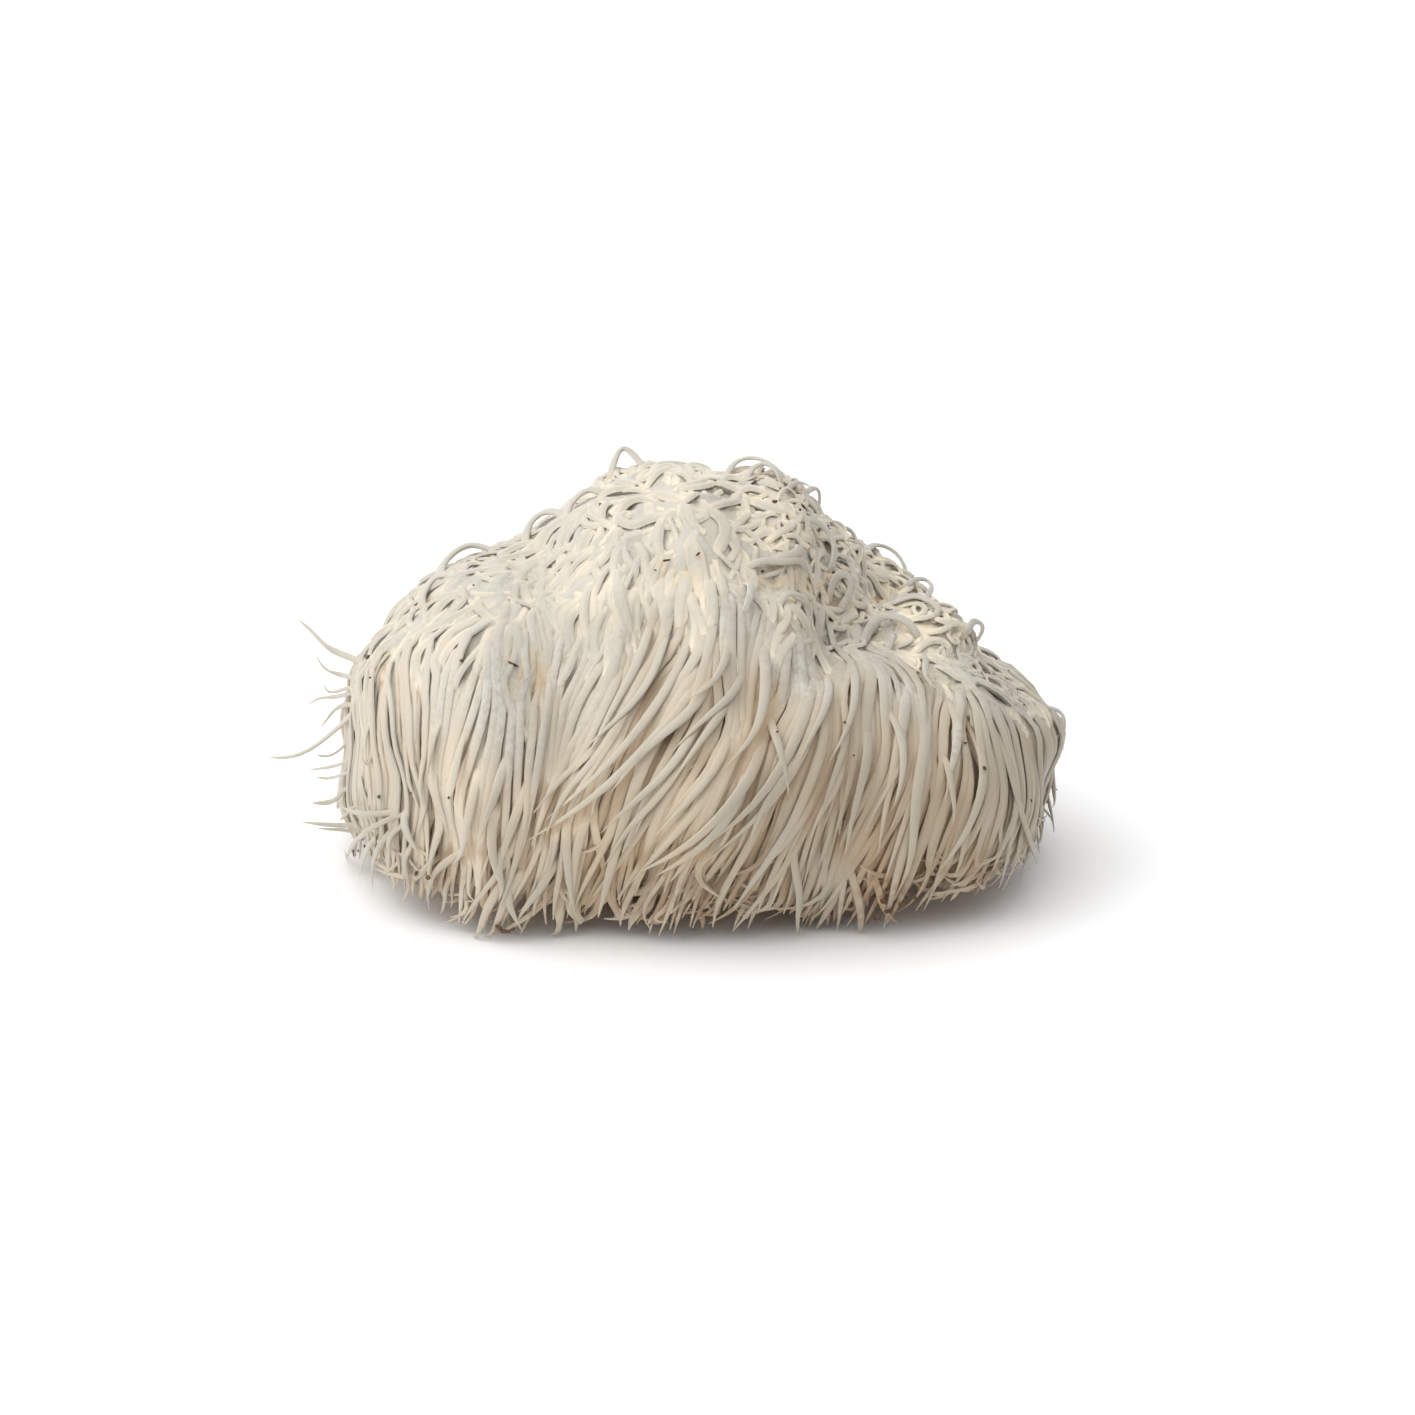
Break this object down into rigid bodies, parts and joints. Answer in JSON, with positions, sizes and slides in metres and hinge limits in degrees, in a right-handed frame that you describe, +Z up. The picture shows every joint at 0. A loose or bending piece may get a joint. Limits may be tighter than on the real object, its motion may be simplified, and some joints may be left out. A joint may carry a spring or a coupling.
{
  "type": "lion's mane mushroom",
  "caption": "Shaggy cream-white mushroom mound, long spines hanging in locks from its sides and curling in loops on its crown, resting on its flat cut.",
  "frame": {"origin": "middle of the flat cut that the mushroom rests on", "axes": "+X to the right and +Y to the back as it is looked at from the front, +Z up from the cut"},
  "size_m": [0.1592, 0.1247, 0.0842],
  "materials": {
    "flesh": "soft, slightly translucent cream-white flesh, ivory on the spines' outer sides and tan in the gaps"
  },
  "bodies": {
    "root": {"fruiting_body": "flesh"}
  },
  "joints": []
}
